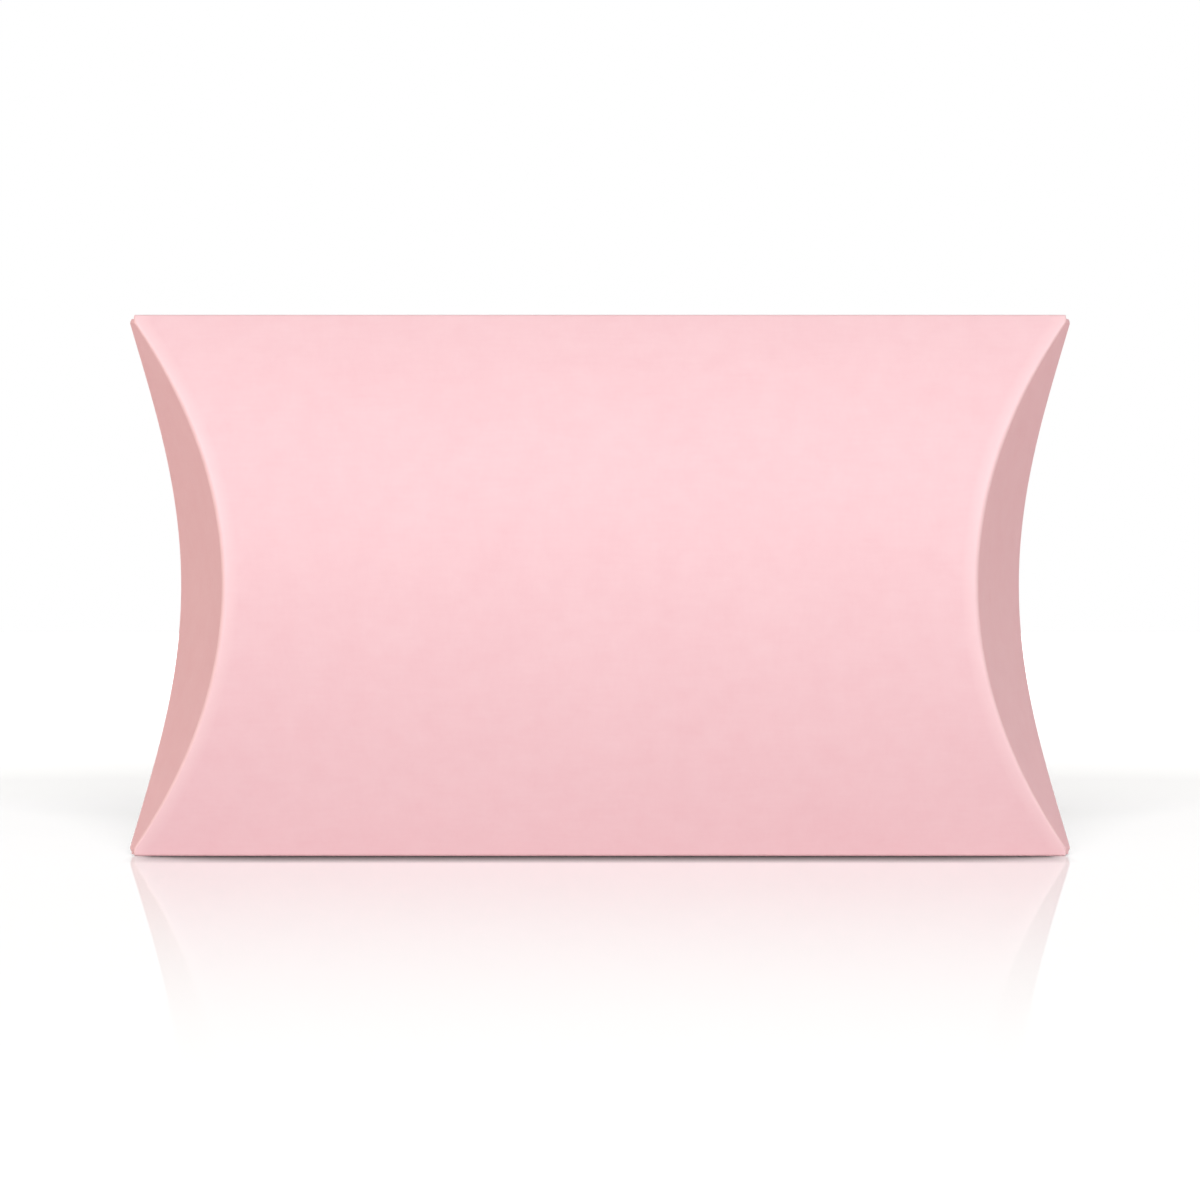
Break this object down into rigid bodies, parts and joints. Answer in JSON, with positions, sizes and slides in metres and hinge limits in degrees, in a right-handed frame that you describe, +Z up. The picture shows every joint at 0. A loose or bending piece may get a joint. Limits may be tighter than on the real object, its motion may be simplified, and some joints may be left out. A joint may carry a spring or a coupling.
{
  "type": "pillow box",
  "caption": "Pillow-shaped folding carton in pale pink card, with two bowed panels and curved flaps that close each end",
  "frame": {"origin": "under the middle of the lower long fold, on the surface that the box stands on", "axes": "+X along the long folds, +Z up to the other long fold, front panel bowed towards -Y"},
  "size_m": [0.16, 0.028, 0.092],
  "materials": {
    "pink_card": "matte",
    "card_inside": "matte",
    "adhesive": "satin"
  },
  "bodies": {
    "tube": {"front_panel": "pink_card", "back_panel": "pink_card", "glue_tab": "card_inside", "glue_line": "adhesive"},
    "outer_left": {"outer_flap_left": "pink_card"},
    "outer_right": {"outer_flap_right": "pink_card"},
    "inner_left": {"inner_flap_left": "pink_card"},
    "inner_right": {"inner_flap_right": "pink_card"}
  },
  "joints": [
    {"name": "outer_flap_right_fold", "type": "hinge", "parent": "tube", "child": "outer_right", "pos_m": [0.06364, -0.014, 0.046], "axis": [0, 0, -1], "range_deg": [0, 70]},
    {"name": "inner_flap_right_fold", "type": "hinge", "parent": "tube", "child": "inner_right", "pos_m": [0.06364, 0.014, 0.046], "axis": [0, 0, 1], "range_deg": [0, 90]},
    {"name": "outer_flap_left_fold", "type": "hinge", "parent": "tube", "child": "outer_left", "pos_m": [-0.06364, -0.014, 0.046], "axis": [0, 0, 1], "range_deg": [0, 70]},
    {"name": "inner_flap_left_fold", "type": "hinge", "parent": "tube", "child": "inner_left", "pos_m": [-0.06364, 0.014, 0.046], "axis": [0, 0, -1], "range_deg": [0, 90]}
  ],
  "couplings": [
    {"joint": "inner_flap_right_fold", "follows": "outer_flap_right_fold", "ratio": 1.2857},
    {"joint": "inner_flap_left_fold", "follows": "outer_flap_left_fold", "ratio": 1.2857}
  ]
}
